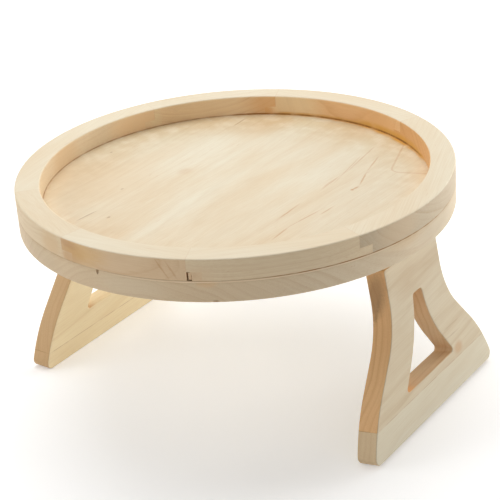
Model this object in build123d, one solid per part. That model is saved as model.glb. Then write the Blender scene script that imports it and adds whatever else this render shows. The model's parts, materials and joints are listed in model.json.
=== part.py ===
"""Round sofa arm tray in bare pine.

A base board carries a raised rim glued up from finger jointed segments. Two legs with a cut out
each hang from a sprung butt hinge, so that they fold flat, stand on a table or grip a sofa's arm.
Millimetres, +Z up. The origin is on the tray's axis, at the level of the lower foot.
"""
import os
from math import asin, atan2, cos, degrees, pi, radians, sin, sqrt, tan

from build123d import *

# Tray: outer size, board thicknesses and the rim around the recess
tray_diameter = 300.0
base_thickness = 14.5
rim_height = 14.5
rim_width = 17.2
rim_edge_bevel = 1.1
base_edge_bevel = 0.9

# Rim segments: the angle of each glued joint, and the finger that locks it into the next segment
rim_joint_angles = [-135.0, -101.6, -66.6, -24.9, 61.0, 111.2, 152.0]
finger_length = 9.0
finger_height = 6.0

# One finger is chipped, which leaves a small open pocket in the rim's outer wall
chipped_joint = 2
chip_length = 2.9
chip_depth = 4.0

# Leg boards, measured from the hinge pin down to the foot
leg_thickness = 14.4
leg_length = 120.2
leg_top_half_width = 34.1
neck_length = 25.0
waist_radius = 58.0
flank_length = 22.0
flare_radius = 110.0
flank_angle = 39.5
leg_corner_radius = 5.0
leg_edge_bevel = 0.8
leg_top_gap = 5.5

# The hole in a leg: its sides follow the waist, then run straight out to the rail above the foot
cutout_neck_width = 10.6
cutout_top = 32.6
foot_rail_height = 28.0
cutout_bend_share = 0.708
cutout_corner_radius = 2.2

# Glue line above each foot
right_foot_stave_height = 21.8
left_foot_stave_height = 13.0

# Where the legs are hinged, and how they stand at rest
pin_setback = 28.6
pin_drop = 6.5
pin_inset = 1.0
right_splay = 9.2
left_splay = 1.2

# Hinges, one to a leg, each with a torsion spring in the middle of its pin
hinge_length = 60.0
leaf_thickness = 1.2
leaf_depth = 18.0
leaf_clearance = 6.9
leaf_corner_radius = 2.5
knuckle_length = 11.7
knuckle_gap = 0.2
knuckle_radius = 3.1
pin_radius = 1.5
pin_clearance = 0.06
pin_head_radius = 2.3
pin_head_height = 0.9

# Torsion spring on each pin, its wire drawn with flat sides
spring_wire = 1.2
spring_wire_sides = 8
spring_mean_radius = 2.2
spring_turns = 3
spring_bend_radius = 1.25
spring_seat_gap = 0.03

# Pan head screws through the leaves, drawn with flat sides
screw_head_radius = 2.6
screw_head_height = 1.0
screw_shank_radius = 1.5
screw_length = 11.0
screw_sides = 12
screw_clearance = 0.04
screw_edge_margin = 5.0
screw_row_spacing = 18.0

overrun = 2.0

# Worked out from the sizes above
tray_radius = tray_diameter / 2
recess_radius = tray_radius - rim_width
pin_reach = tray_radius - pin_setback
limb_width = leg_top_half_width - cutout_neck_width / 2
leaf_far_side = leaf_clearance + leaf_depth
hinge_half = hinge_length / 2
lean = radians(left_splay)
pin_height = leg_length * cos(lean) + (pin_inset - leg_edge_bevel) * sin(lean)
base_bottom = pin_height + pin_drop
base_top = base_bottom + base_thickness
side_view = Plane(origin=(0, 0, 0), x_dir=(0, 1, 0), z_dir=(1, 0, 0))
end_view = Plane(origin=(0, 0, 0), x_dir=(1, 0, 0), z_dir=(0, -1, 0))


def box_between(low, high):
    """A box given by its lowest and highest corners."""
    size = [h - l for l, h in zip(low, high)]
    middle = [(h + l) / 2 for l, h in zip(low, high)]
    return Pos(*middle) * Box(*size)


def rod(radius, start, end):
    """A round bar along Y from start to end."""
    return Pos(0, (start + end) / 2, 0) * Rot(90, 0, 0) * Cylinder(radius, abs(end - start))


# Tray
def make_base_board():
    """The round board under the recess, with its lower edge eased."""
    disc = Pos(0, 0, base_bottom + base_thickness / 2) * Cylinder(tray_radius, base_thickness)
    lower_edge = disc.edges().filter_by(GeomType.CIRCLE).sort_by(Axis.Z)[0]
    return chamfer(lower_edge, base_edge_bevel)


def rim_arc(start, length_along, inner_radius, low, high):
    """A curved block of the rim: from the angle start, so long at mid width, between two levels."""
    span = degrees(length_along / (tray_radius - rim_width / 2))
    section = Rectangle(tray_radius - inner_radius, high - low)
    placed = Plane.XZ * Pos((tray_radius + inner_radius) / 2, (low + high) / 2) * section
    return Rot(0, 0, start) * revolve(placed, Axis.Z, span)


def make_finger(angle):
    """What a segment pushes into the next one, which starts at this angle."""
    return rim_arc(angle, finger_length, recess_radius, base_top, base_top + finger_height)


def make_rim_segment(index):
    """One segment of the rim, with a socket at its start and a finger at its end."""
    start = rim_joint_angles[index]
    following = (index + 1) % len(rim_joint_angles)
    end = rim_joint_angles[following]
    section = Rectangle(rim_width, rim_height)
    section = chamfer(section.vertices().sort_by(Axis.Y)[2:], rim_edge_bevel)
    placed = Plane.XZ * Pos(tray_radius - rim_width / 2, base_top + rim_height / 2) * section
    segment = Rot(0, 0, start) * revolve(placed, Axis.Z, (end - start) % 360)
    segment = segment - make_finger(start) + make_finger(end)
    if following == chipped_joint:
        chip_floor = tray_radius - chip_depth
        segment -= rim_arc(end, chip_length, chip_floor, base_top, base_top + finger_height)
    return segment


# Legs, drawn with the hinge pin at the origin and the leg hanging straight down
def leg_face():
    """Outline of a leg: square shoulders, a hollow waist and a flared foot."""
    top = -leg_top_gap
    foot = -leg_length
    slope = radians(flank_angle)
    waist = (leg_top_half_width + waist_radius, -neck_length)

    def on_waist(turn):
        return (waist[0] - waist_radius * cos(turn), waist[1] - waist_radius * sin(turn))

    waist_end = on_waist(slope)
    flank_end = (waist_end[0] + flank_length * sin(slope), waist_end[1] - flank_length * cos(slope))
    flare = (flank_end[0] - flare_radius * cos(slope), flank_end[1] - flare_radius * sin(slope))
    foot_turn = asin((foot - flare[1]) / flare_radius)

    def on_flare(turn):
        return (flare[0] + flare_radius * cos(turn), flare[1] + flare_radius * sin(turn))

    toe = on_flare(foot_turn)
    shoulder = (leg_top_half_width, top)
    side = [
        Line(shoulder, (leg_top_half_width, -neck_length)),
        ThreePointArc((leg_top_half_width, -neck_length), on_waist(slope / 2), waist_end),
        Line(waist_end, flank_end),
        ThreePointArc(flank_end, on_flare((slope + foot_turn) / 2), toe),
    ]
    other_side = [edge.mirror(Plane.YZ) for edge in side]
    ends = [Line((-shoulder[0], top), shoulder), Line((-toe[0], foot), toe)]
    face = make_face(side + other_side + ends)
    corners = face.vertices().filter_by(lambda v: v.Y > top - overrun or v.Y < foot + overrun)
    return fillet(corners, leg_corner_radius)


def cutout_face():
    """Outline of the hole, its sides on circles about the waist's centres and then straight."""
    sill = leg_length - foot_rail_height
    bend = cutout_top + (sill - cutout_top) * cutout_bend_share
    centre = leg_top_half_width + waist_radius
    radius = waist_radius + limb_width
    start = asin((cutout_top - neck_length) / radius)
    slope = asin((bend - neck_length) / radius)

    def on_side(turn):
        return (centre - radius * cos(turn), -neck_length - radius * sin(turn))

    shoulder = on_side(start)
    corner = (on_side(slope)[0] + (sill - bend) * tan(slope), -sill)
    side = [
        ThreePointArc(shoulder, on_side((start + slope) / 2), on_side(slope)),
        Line(on_side(slope), corner),
    ]
    other_side = [edge.mirror(Plane.YZ) for edge in side]
    ends = [Line((-x, y), (x, y)) for x, y in (shoulder, corner)]
    face = make_face(side + other_side + ends)
    corners = face.vertices().sort_by(Axis.Y)
    return fillet(corners[:2] + corners[-2:], cutout_corner_radius)


def make_leg_blank():
    """A whole leg with its hole and its eased edges, before the glue line and the screw holes."""
    face = side_view * (leg_face() - cutout_face())
    blank = Pos(-pin_inset, 0, 0) * extrude(face, leg_thickness)
    middle = leg_thickness / 2 - pin_inset
    rims = blank.edges().filter_by(lambda edge: abs(edge.center().X - middle) > leg_thickness / 4)
    return chamfer(rims, leg_edge_bevel)


def split_leg(stave_height):
    """The leg board and the foot stave that is glued on below it."""
    blank = make_leg_blank()
    reach = leg_length + overrun
    low = box_between((-reach, -reach, -reach), (reach, reach, stave_height - leg_length))
    board = blank - low
    for tool in leg_screws(screw_clearance):
        board -= tool
    return board, blank & low


# Hinges, in the same frame: pin along Y at the origin, the tray's underside above at pin_drop
def knuckle_starts():
    """Where each knuckle starts along the pin: tray, leg, spring, tray, leg."""
    first = -hinge_half
    second = first + knuckle_length + knuckle_gap
    fourth = hinge_half - knuckle_length
    third = fourth - knuckle_length - knuckle_gap
    return {"tray": [first, third], "leg": [second, fourth]}


def leaf_plate(low, high, normal):
    """A flat leaf with rounded corners on the side away from the pin."""
    plate = box_between(low, high)
    corners = plate.edges().filter_by(normal).sort_by(Axis.X if normal == Axis.Z else Axis.Z)[:2]
    return fillet(corners, leaf_corner_radius)


def add_knuckles(leaf, starts, neck):
    """Join rolled knuckles to a leaf by necks drawn in the end view, and bore them for the pin."""
    for start in starts:
        leaf += rod(knuckle_radius, start, start + knuckle_length)
        leaf += Pos(0, start + knuckle_length, 0) * extrude(end_view * neck, knuckle_length)
    bore = rod(pin_radius + pin_clearance, -hinge_half - overrun, hinge_half + overrun)
    return leaf - bore


def make_tray_leaf():
    """The leaf under the base board, cranked down to its knuckles."""
    lower = pin_drop - leaf_thickness
    plate = leaf_plate((-leaf_far_side, -hinge_half, lower), (-leaf_clearance, hinge_half, pin_drop), Axis.Z)
    lap = -leaf_clearance - leaf_thickness
    neck = make_face(Polyline(
        (lap, pin_drop), (-leaf_clearance, pin_drop), (0, knuckle_radius),
        (0, knuckle_radius - leaf_thickness), (-leaf_clearance, lower), (lap, lower), close=True))
    leaf = add_knuckles(plate, knuckle_starts()["tray"], neck)
    for tool in tray_screws(screw_clearance):
        leaf -= tool
    return leaf


def make_leg_leaf():
    """The leaf on the inside of the leg, straight up to its knuckles."""
    outer = -pin_inset
    inner = outer - leaf_thickness
    plate = leaf_plate((inner, -hinge_half, -leaf_far_side), (outer, hinge_half, -leaf_clearance), Axis.X)
    lap = -leaf_clearance - leaf_thickness
    neck = make_face(Polyline(
        (inner, lap), (outer, lap), (outer, -pin_radius), (inner, -pin_radius), close=True))
    leaf = add_knuckles(plate, knuckle_starts()["leg"], neck)
    for tool in leg_screws(screw_clearance):
        leaf -= tool
    return leaf


def make_pin():
    """The hinge pin with a flat head at each end."""
    half = hinge_half + knuckle_gap
    pin = rod(pin_radius, -half, half)
    for side in (-1, 1):
        pin += rod(pin_head_radius, side * half, side * (half + pin_head_height))
    return pin


# Torsion spring
def helix_point(turn, pitch):
    """Place and direction of the coil after so many turns, about the pin."""
    angle = 2 * pi * turn
    place = Vector(spring_mean_radius * cos(angle), pitch * (turn - spring_turns / 2),
                   spring_mean_radius * sin(angle))
    around = 2 * pi * spring_mean_radius
    heading = Vector(-around * sin(angle), pitch, around * cos(angle))
    return place, heading.normalized()


def two_arcs(start, heading, end, end_heading):
    """Two arcs that leave start along heading and reach end along end_heading."""
    span = end - start
    both = heading + end_heading
    square = both.dot(both) - 4
    middle = span.dot(both)
    reach = (middle - sqrt(middle ** 2 - square * span.dot(span))) / square
    near = start + heading * reach
    far = end - end_heading * reach
    joint = (near + far) / 2
    return [TangentArc(start, joint, tangent=heading), TangentArc(joint, end, tangent=far - near)]


def spring_path():
    """The middle of the wire: a straight end, a bend, the turns, a bend and a straight end."""
    room = hinge_length - 4 * knuckle_length - 2 * (knuckle_gap + spring_seat_gap)
    bend_turn = pi / 2
    for _ in range(spring_turns * 2):
        pitch = (room - 2 * (spring_wire + spring_bend_radius * sin(bend_turn))) / spring_turns
        bend_turn = pi / 2 - atan2(pitch, 2 * pi * spring_mean_radius)
    axis = Vector(0, 1, 0)
    ends = []
    for turn, side in ((0, -1), (spring_turns, 1)):
        place, heading = helix_point(turn, pitch)
        level = (heading - axis * heading.dot(axis)).normalized()
        turned = axis * sin(bend_turn) + level * (1 - cos(bend_turn))
        corner = place + turned * spring_bend_radius * side
        tip = Vector(corner.X, side * room / 2, corner.Z)
        ends.append((tip, corner, place, heading))
    tip, corner, place, _ = ends[0]
    path = [Line(tip, corner), TangentArc(corner, place, tangent=axis)]
    for half in range(spring_turns * 2):
        start, heading = helix_point(half / 2, pitch)
        end, end_heading = helix_point((half + 1) / 2, pitch)
        path += two_arcs(start, heading, end, end_heading)
    tip, corner, place, heading = ends[1]
    path += [TangentArc(place, corner, tangent=heading), Line(corner, tip)]
    return Wire(path)


def least_gap(path, count=240):
    """The least gap between stretches of the wire that lie half a turn or more apart."""
    points = [path.position_at(step / count) for step in range(count + 1)]
    apart = int(count * pi * spring_mean_radius / path.length)
    nearest = min((p - q).length for i, p in enumerate(points) for q in points[i + apart:])
    return nearest - spring_wire


def make_spring():
    """One unbroken wire, swept along its path."""
    path = spring_path()
    print("spring: least gap to itself", round(least_gap(path), 2), "bend radius", spring_bend_radius,
          "coil radius", spring_mean_radius)
    start = Plane(origin=path.position_at(0), z_dir=path.tangent_at(0))
    return sweep(start * RegularPolygon(spring_wire / 2, spring_wire_sides), path=path)


# Screws
def make_screw(clearance):
    """A screw pointing down with its head on the ground plane, or the tool for its hole."""
    top = overrun if clearance else screw_head_height
    shank = RegularPolygon(screw_shank_radius + clearance, screw_sides)
    screw = extrude(shank, -screw_length - clearance)
    if clearance:
        return screw + extrude(shank, top)
    return screw + extrude(RegularPolygon(screw_head_radius, screw_sides), top)


def screw_places():
    """Distance from the pin and place along it of the four screws in a leaf."""
    near = leaf_clearance + screw_edge_margin
    far = leaf_far_side - screw_edge_margin
    side = hinge_half - screw_edge_margin
    middle = screw_row_spacing / 2
    return [(far, -side), (near, -middle), (near, middle), (far, side)]


def tray_screws(clearance=0):
    """The screws, or the tools for their holes, that go up into the base board."""
    screw = Rot(180, 0, 0) * make_screw(clearance)
    return [Pos(-reach, along, pin_drop - leaf_thickness) * screw for reach, along in screw_places()]


def leg_screws(clearance=0):
    """The screws, or the tools for their holes, that go out into the leg."""
    screw = Rot(0, -90, 0) * make_screw(clearance)
    return [Pos(-pin_inset - leaf_thickness, along, -reach) * screw for reach, along in screw_places()]


# Placing
def hang(shape, side, splay):
    """Turn a piece by the leg's splay about the pin, and move it to its side of the tray."""
    placed = Pos(pin_reach, 0, pin_height) * Rot(0, -splay, 0) * shape
    if side == "left":
        placed = placed.mirror(Plane.YZ)
    return placed


def build():
    """Every piece of the tray, by name."""
    pieces = {}
    base = make_base_board()
    tray_leaf = make_tray_leaf()
    leg_leaf = make_leg_leaf()
    spring = make_spring()
    springs = []
    under_screws = []
    for side, splay, stave in (("right", right_splay, right_foot_stave_height),
                               ("left", left_splay, left_foot_stave_height)):
        board, foot = split_leg(stave)
        pieces[f"{side}_leg_board"] = hang(board, side, splay)
        pieces[f"{side}_foot_stave"] = hang(foot, side, splay)
        pieces[f"{side}_leg_leaf"] = hang(leg_leaf, side, splay)
        pieces[f"{side}_leg_screws"] = Compound([hang(screw, side, splay) for screw in leg_screws()])
        pieces[f"{side}_tray_leaf"] = hang(tray_leaf, side, 0)
        pieces[f"{side}_hinge_pin"] = hang(make_pin(), side, 0)
        springs.append(hang(spring, side, 0))
        under_screws += [hang(screw, side, 0) for screw in tray_screws()]
        for tool in tray_screws(screw_clearance):
            base -= hang(tool, side, 0)
    pieces["base_board"] = base
    pieces["leg_springs"] = Compound(springs)
    pieces["tray_leaf_screws"] = Compound(under_screws)
    for index in range(len(rim_joint_angles)):
        pieces[f"rim_segment_{index + 1}"] = make_rim_segment(index)
    return pieces


if __name__ == "__main__":
    os.makedirs("parts", exist_ok=True)
    for name, piece in sorted(build().items()):
        box = piece.bounding_box()
        export_step(piece, f"parts/{name}.step")
        print(name, [round(v, 1) for v in box.min], [round(v, 1) for v in box.max])
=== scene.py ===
"""Sofa arm tray in bare pine: a round base board, a finger jointed rim and two hinged legs.

Lengths are in metres. Every piece is modelled where it stands, +Z up, with the feet at the ground.
"""
import json
from math import asin, atan2, cos, pi, radians, sin, tan

import bmesh
import bpy
from bpy.props import FloatProperty, FloatVectorProperty, IntProperty, PointerProperty
from mathutils import Matrix, Vector


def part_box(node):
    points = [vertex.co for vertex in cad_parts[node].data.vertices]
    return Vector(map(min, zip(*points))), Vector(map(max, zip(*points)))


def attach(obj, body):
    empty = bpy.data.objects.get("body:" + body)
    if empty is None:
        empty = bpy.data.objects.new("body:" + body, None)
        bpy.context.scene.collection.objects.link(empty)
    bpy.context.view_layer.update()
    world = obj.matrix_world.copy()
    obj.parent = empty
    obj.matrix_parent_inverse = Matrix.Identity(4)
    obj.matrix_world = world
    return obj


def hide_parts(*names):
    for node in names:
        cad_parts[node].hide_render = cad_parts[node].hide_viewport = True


bl_info = {
    "name": "Sofa arm tray",
    "version": (1, 0, 0),
    "blender": (4, 5, 0),
    "location": "View3D > Sidebar > Arm tray",
    "description": "Round pine tray with a raised rim on two sprung folding legs",
    "category": "Add Mesh",
}

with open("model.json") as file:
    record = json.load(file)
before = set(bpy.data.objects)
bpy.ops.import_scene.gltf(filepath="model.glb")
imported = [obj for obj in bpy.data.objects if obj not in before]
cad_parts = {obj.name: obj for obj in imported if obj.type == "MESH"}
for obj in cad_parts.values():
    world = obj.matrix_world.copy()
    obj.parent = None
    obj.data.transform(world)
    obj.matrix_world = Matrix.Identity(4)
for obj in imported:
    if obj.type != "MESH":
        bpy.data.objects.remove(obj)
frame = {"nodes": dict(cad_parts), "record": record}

JOINTS = {joint["name"]: joint for joint in frame["record"]["behaviour"]["joints"]}
PIN = Vector(JOINTS["right_leg_fold"]["pos_m"])
BOARD_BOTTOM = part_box("base_board")[0][2]
BOARD_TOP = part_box("base_board")[1][2]
MM = 0.001
# Points nearer than SAME are merged, and heights or radii nearer than ALIKE count as equal
SAME, ALIKE = 1e-7, 1e-6


def length(name, description, default):
    """A property that holds a length in metres."""
    return FloatProperty(name=name, description=description, default=default, min=0.0,
                         precision=5, unit="LENGTH")


def angle(name, description, degrees_default):
    """A property that holds an angle."""
    return FloatProperty(name=name, description=description, default=radians(degrees_default),
                         subtype="ANGLE", unit="ROTATION")


def colour(name, description, default):
    """A property that holds a linear colour."""
    return FloatVectorProperty(name=name, description=description, default=default, size=3,
                               min=0.0, max=1.0, subtype="COLOR")


def power(name, description, default):
    """A property that holds the power of a lamp in watts."""
    return FloatProperty(name=name, description=description, default=default, min=0.0, unit="POWER")


class BoardSizes(bpy.types.PropertyGroup):
    """Sizes of the round board under the recess."""
    radius: length("Radius", "Outer radius of the tray", 0.150)
    lower_edge: length("Lower edge", "Rounding of the lower edge", 0.0009)
    seam_edge: length("Seam edge", "Rounding of the edge that meets the rim", 0.00022)
    segments: IntProperty(name="Segments", description="Facets round the board", default=256, min=64)


class RimSizes(bpy.types.PropertyGroup):
    """Sizes of the rim and its finger joints."""
    width: length("Width", "From the recess to the outer wall", 0.0172)
    height: length("Height", "Above the base board", 0.0145)
    edge: length("Edge", "Rounding of the upper edges", 0.0012)
    seam_edge: length("Seam edge", "Rounding of the outer edge that meets the board", 0.00012)
    finger_length: length("Finger length", "Along the middle of the rim", 0.009)
    finger_height: length("Finger height", "Above the base board", 0.006)
    joints: FloatVectorProperty(
        name="Joints", description="Where each segment starts round the rim", size=7, subtype="EULER",
        default=[radians(a) for a in (-135.0, -101.6, -66.6, -24.9, 61.0, 111.2, 152.0)])
    slot_width: length("Slot width", "Open slot at the root of the chipped finger", 0.00095)
    slot_depth: length("Slot depth", "Depth of the slots of the chipped finger", 0.0038)
    chip_length: length("Chip length", "Along the rim from the joint", 0.0032)
    chip_depth: length("Chip depth", "How far the chipped wood lies back", 0.0006)
    chip_sill: length("Chip sill", "Height of the slots under and over the chip", 0.0007)


class LegSizes(bpy.types.PropertyGroup):
    """Sizes of a leg, measured from the hinge pin down to the foot."""
    thickness: length("Thickness", "Of both boards of a leg", 0.0144)
    length: length("Length", "From the pin to the foot", 0.1202)
    top_half_width: length("Top half width", "Half of the width at the shoulders", 0.0341)
    neck_length: length("Neck", "From the pin to the start of the waist", 0.025)
    waist_radius: length("Waist radius", "Hollow curve under the shoulders", 0.058)
    flank_length: length("Flank length", "Straight stretch of the side", 0.022)
    flank_angle: angle("Flank angle", "Slope of the straight stretch", 39.5)
    flare_radius: length("Flare radius", "Round curve down to the foot", 0.110)
    shoulder_radius: length("Shoulder radius", "Of the upper corners", 0.0015)
    toe_radius: length("Toe radius", "Of the lower corners", 0.005)
    edge: length("Edge", "Rounding of the long edges", 0.0008)
    top_gap: length("Top gap", "From the pin down to the shoulders", 0.0041)
    hole_neck_half: length("Hole neck half width", "Half of the hole's width at the waist", 0.0053)
    hole_top: length("Hole top", "From the pin to the hole", 0.0326)
    rail_height: length("Rail height", "Rail between the hole and the foot", 0.028)
    hole_bend_share: FloatProperty(name="Hole bend", description="Where its sides become straight",
                                   default=0.708, min=0.1, max=0.9, subtype="FACTOR")
    hole_corner: length("Hole corner", "Radius of the hole's corners", 0.0022)
    pin_inset: length("Pin inset", "From the leg's inner face to the pin", 0.001)
    right_stave: length("Right stave", "Height of the right foot stave", 0.0218)
    left_stave: length("Left stave", "Height of the left foot stave", 0.013)
    right_splay: angle("Right splay", "How far the right leg stands outwards", 9.2)
    left_splay: angle("Left splay", "How far the left leg stands outwards", 1.2)


class HingeSizes(bpy.types.PropertyGroup):
    """Sizes of the springs and screws of the hinges."""
    drop: length("Drop", "From the tray's underside to the pin", 0.0065)
    leaf_thickness: length("Leaf thickness", "Of the sheet", 0.0012)
    leaf_clearance: length("Leaf clearance", "From the pin to the flat of a leaf", 0.0069)
    leaf_depth: length("Leaf depth", "Of the flat of a leaf", 0.018)
    half_length: length("Half length", "Half of the hinge along the pin", 0.030)
    knuckle: length("Knuckle", "Length of one knuckle", 0.0117)
    knuckle_gap: length("Knuckle gap", "Between two knuckles", 0.0002)
    wire_radius: length("Wire radius", "Of the spring's wire", 0.0006)
    coil_radius: length("Coil radius", "To the middle of the wire", 0.0022)
    coil_turns: IntProperty(name="Turns", description="Turns of each spring", default=3, min=1)
    wire_bend: length("Wire bend", "Bend radius at the spring's ends", 0.00125)
    seat_gap: length("Seat gap", "Between a spring's end and its knuckle", 0.00003)
    head_radius: length("Head radius", "Of a screw", 0.0026)
    head_height: length("Head height", "Of a screw", 0.001)
    recess_width: length("Recess width", "Of the cross in a screw's head", 0.00055)
    recess_length: length("Recess length", "Of the cross in a screw's head", 0.0029)
    recess_depth: length("Recess depth", "Of the cross in a screw's head", 0.0006)
    shank_radius: length("Shank radius", "Of a screw", 0.00145)
    screw_length: length("Screw length", "Under the head", 0.011)
    screw_margin: length("Screw margin", "From a screw to the leaf's edge", 0.005)
    screw_spacing: length("Screw spacing", "Between the two middle screws", 0.018)


class PineColours(bpy.types.PropertyGroup):
    """Colours of the bare pine."""
    cream: colour("Cream", "Planed tops, the palest wood", (0.87, 0.81, 0.65))
    straw: colour("Straw", "Yellower wood of the floor", (0.81, 0.67, 0.47))
    honey: colour("Honey", "Warm faces of the left leg", (0.94, 0.79, 0.515))
    # Painted light: glow brightens the inner walls at the back left, which lie in shade
    glow: colour("Glow", "Brightest walls of the rim", (0.98, 0.76, 0.49))
    grey: colour("Grey", "Faces of the right leg", (0.72, 0.615, 0.44))
    stone: colour("Stone", "Palest boards of the right leg", (0.76, 0.69, 0.53))
    oat: colour("Oat", "Sawn wall of the base board", (0.82, 0.68, 0.485))
    sand: colour("Sand", "Pale outer walls of the rim", (0.84, 0.68, 0.46))
    # Partly painted shade: besides a grey tone, ash darkens the outer walls at the far right, where less light
    # falls
    ash: colour("Ash", "Greyish outer walls of the rim", (0.66, 0.55, 0.39))
    buff: colour("Buff", "Pinkish outer walls of the rim", (0.81, 0.60, 0.38))
    tan: colour("Tan", "Browner walls", (0.76, 0.535, 0.30))
    amber: colour("Amber", "Walls browned by the cutter", (0.93, 0.61, 0.32))
    russet: colour("Russet", "The brownest walls", (0.83, 0.49, 0.22))
    # Partly painted shade: this darkens the floor towards its edge, most at the back, for the back wall's shade
    # as well as an older tone
    aged_and_shaded: colour("Aged", "Multiplies the floor towards its edge", (0.83, 0.75, 0.62))
    late: colour("Late wood", "Multiplies the wood on the line that closes each ring", (0.70, 0.52, 0.34))
    # Painted highlight: this pale peach draws the line just under the seam that stands in for light on the
    # board's rounded upper edge
    highlight_peach: colour("Peach", "Raw edge of the base board at the seam", (1.0, 0.80, 0.58))
    fibre: colour("Fibres", "Multiplies the wood between the fibres", (0.80, 0.68, 0.52))
    end: colour("End grain", "Multiplies the wood where the fibres end", (0.95, 0.90, 0.84))
    resin: colour("Resin", "Thin streaks along the grain", (0.60, 0.34, 0.16))
    # This colour draws real knots and streaks, and also painted shade: in the pit in the board's edge and at
    # the top of the right leg's front edge
    knot_and_shade: colour("Knot", "Pin knots and dark pits", (0.40, 0.24, 0.12))
    varnish: colour("Varnish", "Golden stain beside the glue", (0.76, 0.43, 0.10))
    glue: colour("Glue", "Dark line where two boards meet", (0.40, 0.18, 0.045))


class SteelColours(bpy.types.PropertyGroup):
    """Colours of the metal fittings."""
    zinc: colour("Zinc", "Plated sheet of the leaves", (0.34, 0.35, 0.37))
    pin: colour("Pin", "Plated wire of the pins", (0.38, 0.38, 0.39))
    spring: colour("Spring", "Bright spring wire", (0.50, 0.51, 0.53))
    screw: colour("Screw", "Plated screws", (0.42, 0.41, 0.38))


class StageSettings(bpy.types.PropertyGroup):
    """The floor, the light and the camera."""
    floor: colour("Floor", "Pale floor", (0.92, 0.92, 0.92))
    sky: FloatProperty(name="Sky", description="Strength of the soft light all round", default=0.335)
    top: power("Top lamp", "Power of the soft box overhead", 16.6)
    right: power("Right lamp", "Power of the low soft box behind on the right", 23.0)
    left: power("Left lamp", "Power of the soft box in front on the left", 8.0)
    azimuth: angle("Azimuth", "Round the tray from the front", 35.99413)
    elevation: angle("Elevation", "Above the level", 25.45379)
    roll: angle("Roll", "Turn about the line of sight", -4.202936)
    distance: length("Distance", "From the middle of the underside", 1.03066777)
    side_shift: length("Side shift", "Camera moved to its right", 0.00881812759)
    drop_shift: length("Drop shift", "Camera moved down", 0.0334131442)
    focal: FloatProperty(name="Focal length", description="On a sensor 36 mm wide", default=107.29,
                         unit="CAMERA")


class ArmTray(bpy.types.PropertyGroup):
    """All settings of the arm tray."""
    board: PointerProperty(type=BoardSizes)
    rim: PointerProperty(type=RimSizes)
    leg: PointerProperty(type=LegSizes)
    hinge: PointerProperty(type=HingeSizes)
    pine: PointerProperty(type=PineColours)
    steel: PointerProperty(type=SteelColours)
    stage: PointerProperty(type=StageSettings)


# Materials
class Graph:
    """The nodes of a material or world, with one call for each node and its links."""

    def __init__(self, owner):
        owner.use_nodes = True
        self.tree = owner.node_tree
        self.tree.nodes.clear()

    def add(self, kind, inputs=(), **settings):
        """A node with its settings; an input is a constant, or the output that feeds it."""
        made = self.tree.nodes.new(kind)
        for key, value in settings.items():
            setattr(made, key, value)
        for key, value in dict(inputs).items():
            if isinstance(value, bpy.types.NodeSocket):
                self.tree.links.new(value, made.inputs[key])
            else:
                made.inputs[key].default_value = value
        return made

    def math(self, operation, *values):
        """The result of a sum of up to three values."""
        return self.add("ShaderNodeMath", enumerate(values), operation=operation).outputs[0]

    def vector(self, operation, *values, out=0):
        """The result of a sum of vectors."""
        return self.add("ShaderNodeVectorMath", enumerate(values), operation=operation).outputs[out]

    def dot(self, first, second):
        """How far one vector goes along another."""
        return self.vector("DOT_PRODUCT", first, second, out=1)

    def reach(self, source):
        """A vector's length."""
        return self.vector("LENGTH", source, out=1)

    def parts(self, source):
        """A vector's X, Y and Z."""
        return self.add("ShaderNodeSeparateXYZ", {"Vector": source}).outputs

    def joined(self, **parts):
        """A vector from its X, Y and Z."""
        return self.add("ShaderNodeCombineXYZ", parts).outputs[0]

    def placed(self, source, place=(0, 0, 0), turn=(0, 0, 0), size=(1, 1, 1)):
        """Coordinates seen from a frame with that place, turn and size."""
        inputs = {"Vector": source, "Location": place, "Rotation": turn, "Scale": size}
        return self.add("ShaderNodeMapping", inputs, vector_type="TEXTURE").outputs[0]

    def noise(self, source, detail=2.0, roughness=0.5):
        """Even noise about one unit across."""
        inputs = {"Vector": source, "Scale": 1.0, "Detail": detail, "Roughness": roughness}
        return self.add("ShaderNodeTexNoise", inputs).outputs[0]

    def fade(self, source, low, high, to_low=0.0, to_high=1.0):
        """A smooth step from one value to another."""
        inputs = {"Value": source, "From Min": low, "From Max": high, "To Min": to_low, "To Max": to_high}
        return self.add("ShaderNodeMapRange", inputs, interpolation_type="SMOOTHSTEP").outputs[0]

    def mix(self, share, first, second, blend="MIX"):
        """Two colours mixed by a share; of the node's sockets, 6 and 7 take colours and 2 gives their mix."""
        inputs = {0: share}
        for socket, value in ((6, first), (7, second)):
            inputs[socket] = value if isinstance(value, bpy.types.NodeSocket) else (*value, 1.0)
        return self.add("ShaderNodeMix", inputs, data_type="RGBA", blend_type=blend).outputs[2]

    def ramp(self, source, stops):
        """A value shaped by stops of (position, grey level)."""
        made = self.add("ShaderNodeValToRGB", {"Fac": source})
        band = made.color_ramp
        while len(band.elements) < len(stops):
            band.elements.new(1.0)
        for element, (position, level) in zip(band.elements, stops):
            element.position = position
            element.color = (level, level, level, 1.0)
        return made.outputs[0]

    def seen(self):
        """1 for what the camera sees, also in metal and through glass, and 0 for light on the object."""
        path = self.add("ShaderNodeLightPath")
        seen = path.outputs["Is Camera Ray"]
        for ray in ("Is Glossy Ray", "Is Transmission Ray"):
            seen = self.math("MAXIMUM", seen, path.outputs[ray])
        return seen


class Finish(Graph):
    """The nodes of a new material, with the places and normals on its piece."""

    def __init__(self, name):
        self.material = bpy.data.materials.new(name)
        super().__init__(self.material)
        texture = self.add("ShaderNodeTexCoord")
        self.here, self.normal = texture.outputs["Object"], texture.outputs["Normal"]

    def done(self, shader):
        """Joins the shader to the output and returns the material."""
        self.add("ShaderNodeOutputMaterial", {"Surface": shader.outputs[0]})
        return self.material


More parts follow.
